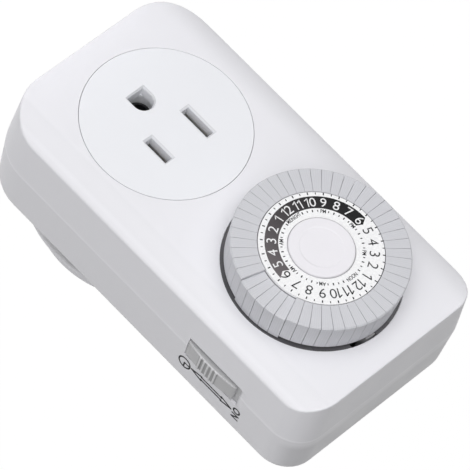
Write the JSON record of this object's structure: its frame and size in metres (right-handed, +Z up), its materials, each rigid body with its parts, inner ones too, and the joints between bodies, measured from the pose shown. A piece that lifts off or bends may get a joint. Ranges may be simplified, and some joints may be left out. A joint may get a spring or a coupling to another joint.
{
  "type": "plug in timer switch",
  "caption": "Plug-in mains timer: slab-shaped white housing with a grounded outlet, a raised dial ringed by push-in trippers, a side mode slider and a three-pin plug on the back.",
  "frame": {"origin": "midpoint between the two plug blades on the face of the plug boss that meets the wall plate", "axes": "+Y out of the plug face into the wall, +Z up to the dial end, +X to the side with the mode switch"},
  "size_m": [0.0598, 0.0706, 0.1048],
  "materials": {
    "white_shell": "satin moulded, off-white",
    "white_insert": "smooth, faintly glossy white",
    "white_scale": "printed white disc",
    "white_knob": "smooth white",
    "grey_ring": "light grey, fine grain",
    "slider_grey": "mid grey",
    "dark_plastic": "dark grey, polished",
    "lever_plastic": "grey acetal",
    "natural_plastic": "natural acetal",
    "pale_plastic": "pale grey",
    "grey_plastic": "dark grey",
    "brown_plastic": "brown phenolic",
    "brass": "stamped brass",
    "nickel": "nickel-plated brass",
    "steel": "zinc-plated steel",
    "bare_metal": "drawn steel can",
    "wire_red": "insulated wire"
  },
  "bodies": {
    "housing": {"front_housing": "white_shell", "rear_housing": "white_shell", "housing_screws": "steel", "outlet_face": "white_insert", "contact_carrier": "grey_plastic", "live_contact": "brass", "neutral_contact": "brass", "ground_contact": "brass", "live_blade": "nickel", "neutral_blade": "nickel", "ground_pin": "nickel", "live_feed_strip": "brass", "switched_strip": "brass", "switch_block": "brown_plastic", "dial_base": "dark_plastic", "dial_spindle": "steel", "mechanism_plate": "pale_plastic", "plate_screws": "steel", "gear_arbor": "steel", "motor_case": "bare_metal", "motor_leads": "wire_red", "lever_spring": "steel", "detent_spring": "steel"},
    "dial": {"dial_wheel": "grey_ring", "scale_disc": "white_scale", "dial_knob": "white_knob", "dial_gear": "natural_plastic", "clutch_washer": "steel"},
    "mode_slider": {"mode_slider": "slider_grey"},
    "trip_lever": {"trip_lever": "lever_plastic"},
    "contact_leaf": {"contact_leaf": "brass"},
    "reduction_gear": {"reduction_gear": "natural_plastic"},
    "motor_pinion": {"motor_pinion": "brass"},
    "trippers_hour_0": {"trippers_hour_0": "grey_ring"},
    "trippers_hour_2": {"trippers_hour_2": "grey_ring"},
    "trippers_hour_3": {"trippers_hour_3": "grey_ring"},
    "trippers_hour_4": {"trippers_hour_4": "grey_ring"},
    "trippers_hour_5": {"trippers_hour_5": "grey_ring"},
    "trippers_hour_6": {"trippers_hour_6": "grey_ring"},
    "trippers_hour_7": {"trippers_hour_7": "grey_ring"},
    "trippers_hour_8": {"trippers_hour_8": "grey_ring"},
    "trippers_hour_9": {"trippers_hour_9": "grey_ring"},
    "trippers_hour_10": {"trippers_hour_10": "grey_ring"},
    "trippers_hour_11": {"trippers_hour_11": "grey_ring"},
    "trippers_hour_12": {"trippers_hour_12": "grey_ring"},
    "trippers_hour_13": {"trippers_hour_13": "grey_ring"},
    "trippers_hour_14": {"trippers_hour_14": "grey_ring"},
    "trippers_hour_15": {"trippers_hour_15": "grey_ring"},
    "trippers_hour_16": {"trippers_hour_16": "grey_ring"},
    "trippers_hour_17": {"trippers_hour_17": "grey_ring"},
    "trippers_hour_18": {"trippers_hour_18": "grey_ring"},
    "trippers_hour_19": {"trippers_hour_19": "grey_ring"},
    "trippers_hour_20": {"trippers_hour_20": "grey_ring"},
    "trippers_hour_21": {"trippers_hour_21": "grey_ring"},
    "trippers_hour_22": {"trippers_hour_22": "grey_ring"},
    "trippers_hour_23": {"trippers_hour_23": "grey_ring"},
    "tripper_half_a": {"tripper_half_a": "grey_ring"},
    "tripper_half_b": {"tripper_half_b": "grey_ring"}
  },
  "joints": [
    {"name": "dial_turn", "type": "hinge", "parent": "housing", "child": "dial", "pos_m": [0, -0.0396, 0.0446], "axis": [0, 1, 0], "continuous": true},
    {"name": "mode_slide", "type": "slide", "parent": "housing", "child": "mode_slider", "axis": [0, 0, 1], "range_m": [0, 0.0013]},
    {"name": "lever_trip", "type": "hinge", "parent": "housing", "child": "trip_lever", "pos_m": [0.0065, -0.0336, 0.069], "axis": [1, 0, 0], "range_deg": [0, 7.8]},
    {"name": "contact_close", "type": "hinge", "parent": "housing", "child": "contact_leaf", "pos_m": [0.0065, -0.0241, 0.0386], "axis": [1, 0, 0], "range_deg": [-2.37, 0]},
    {"name": "gear_turn", "type": "hinge", "parent": "housing", "child": "reduction_gear", "pos_m": [-0.01474, -0.0346, 0.03428], "axis": [0, 1, 0], "continuous": true},
    {"name": "motor_turn", "type": "hinge", "parent": "housing", "child": "motor_pinion", "pos_m": [-0.01164, -0.0326, 0.02269], "axis": [0, 1, 0], "continuous": true},
    {"name": "tripper_push_00", "type": "slide", "parent": "dial", "child": "trippers_hour_0", "axis": [0, 1, 0], "range_m": [-0.0008, 0]},
    {"name": "tripper_push_02", "type": "slide", "parent": "dial", "child": "trippers_hour_2", "axis": [0, 1, 0], "range_m": [0, 0.0008]},
    {"name": "tripper_push_03", "type": "slide", "parent": "dial", "child": "trippers_hour_3", "axis": [0, 1, 0], "range_m": [0, 0.0008]},
    {"name": "tripper_push_04", "type": "slide", "parent": "dial", "child": "trippers_hour_4", "axis": [0, 1, 0], "range_m": [0, 0.0008]},
    {"name": "tripper_push_05", "type": "slide", "parent": "dial", "child": "trippers_hour_5", "axis": [0, 1, 0], "range_m": [0, 0.0008]},
    {"name": "tripper_push_06", "type": "slide", "parent": "dial", "child": "trippers_hour_6", "axis": [0, 1, 0], "range_m": [0, 0.0008]},
    {"name": "tripper_push_07", "type": "slide", "parent": "dial", "child": "trippers_hour_7", "axis": [0, 1, 0], "range_m": [0, 0.0008]},
    {"name": "tripper_push_08", "type": "slide", "parent": "dial", "child": "trippers_hour_8", "axis": [0, 1, 0], "range_m": [0, 0.0008]},
    {"name": "tripper_push_09", "type": "slide", "parent": "dial", "child": "trippers_hour_9", "axis": [0, 1, 0], "range_m": [0, 0.0008]},
    {"name": "tripper_push_10", "type": "slide", "parent": "dial", "child": "trippers_hour_10", "axis": [0, 1, 0], "range_m": [0, 0.0008]},
    {"name": "tripper_push_11", "type": "slide", "parent": "dial", "child": "trippers_hour_11", "axis": [0, 1, 0], "range_m": [0, 0.0008]},
    {"name": "tripper_push_12", "type": "slide", "parent": "dial", "child": "trippers_hour_12", "axis": [0, 1, 0], "range_m": [0, 0.0008]},
    {"name": "tripper_push_13", "type": "slide", "parent": "dial", "child": "trippers_hour_13", "axis": [0, 1, 0], "range_m": [0, 0.0008]},
    {"name": "tripper_push_14", "type": "slide", "parent": "dial", "child": "trippers_hour_14", "axis": [0, 1, 0], "range_m": [0, 0.0008]},
    {"name": "tripper_push_15", "type": "slide", "parent": "dial", "child": "trippers_hour_15", "axis": [0, 1, 0], "range_m": [0, 0.0008]},
    {"name": "tripper_push_16", "type": "slide", "parent": "dial", "child": "trippers_hour_16", "axis": [0, 1, 0], "range_m": [0, 0.0008]},
    {"name": "tripper_push_17", "type": "slide", "parent": "dial", "child": "trippers_hour_17", "axis": [0, 1, 0], "range_m": [0, 0.0008]},
    {"name": "tripper_push_18", "type": "slide", "parent": "dial", "child": "trippers_hour_18", "axis": [0, 1, 0], "range_m": [0, 0.0008]},
    {"name": "tripper_push_19", "type": "slide", "parent": "dial", "child": "trippers_hour_19", "axis": [0, 1, 0], "range_m": [0, 0.0008]},
    {"name": "tripper_push_20", "type": "slide", "parent": "dial", "child": "trippers_hour_20", "axis": [0, 1, 0], "range_m": [0, 0.0008]},
    {"name": "tripper_push_21", "type": "slide", "parent": "dial", "child": "trippers_hour_21", "axis": [0, 1, 0], "range_m": [0, 0.0008]},
    {"name": "tripper_push_22", "type": "slide", "parent": "dial", "child": "trippers_hour_22", "axis": [0, 1, 0], "range_m": [0, 0.0008]},
    {"name": "tripper_push_23", "type": "slide", "parent": "dial", "child": "trippers_hour_23", "axis": [0, 1, 0], "range_m": [-0.0008, 0]},
    {"name": "tripper_push_half_a", "type": "slide", "parent": "dial", "child": "tripper_half_a", "axis": [0, 1, 0], "range_m": [-0.0008, 0]},
    {"name": "tripper_push_half_b", "type": "slide", "parent": "dial", "child": "tripper_half_b", "axis": [0, 1, 0], "range_m": [0, 0.0008]}
  ],
  "couplings": [
    {"joint": "gear_turn", "follows": "dial_turn", "ratio": -5},
    {"joint": "motor_turn", "follows": "dial_turn", "ratio": 15},
    {"joint": "lever_trip", "follows": "mode_slide", "rad_per_m": 104.67},
    {"joint": "contact_close", "follows": "mode_slide", "rad_per_m": -31.687}
  ]
}
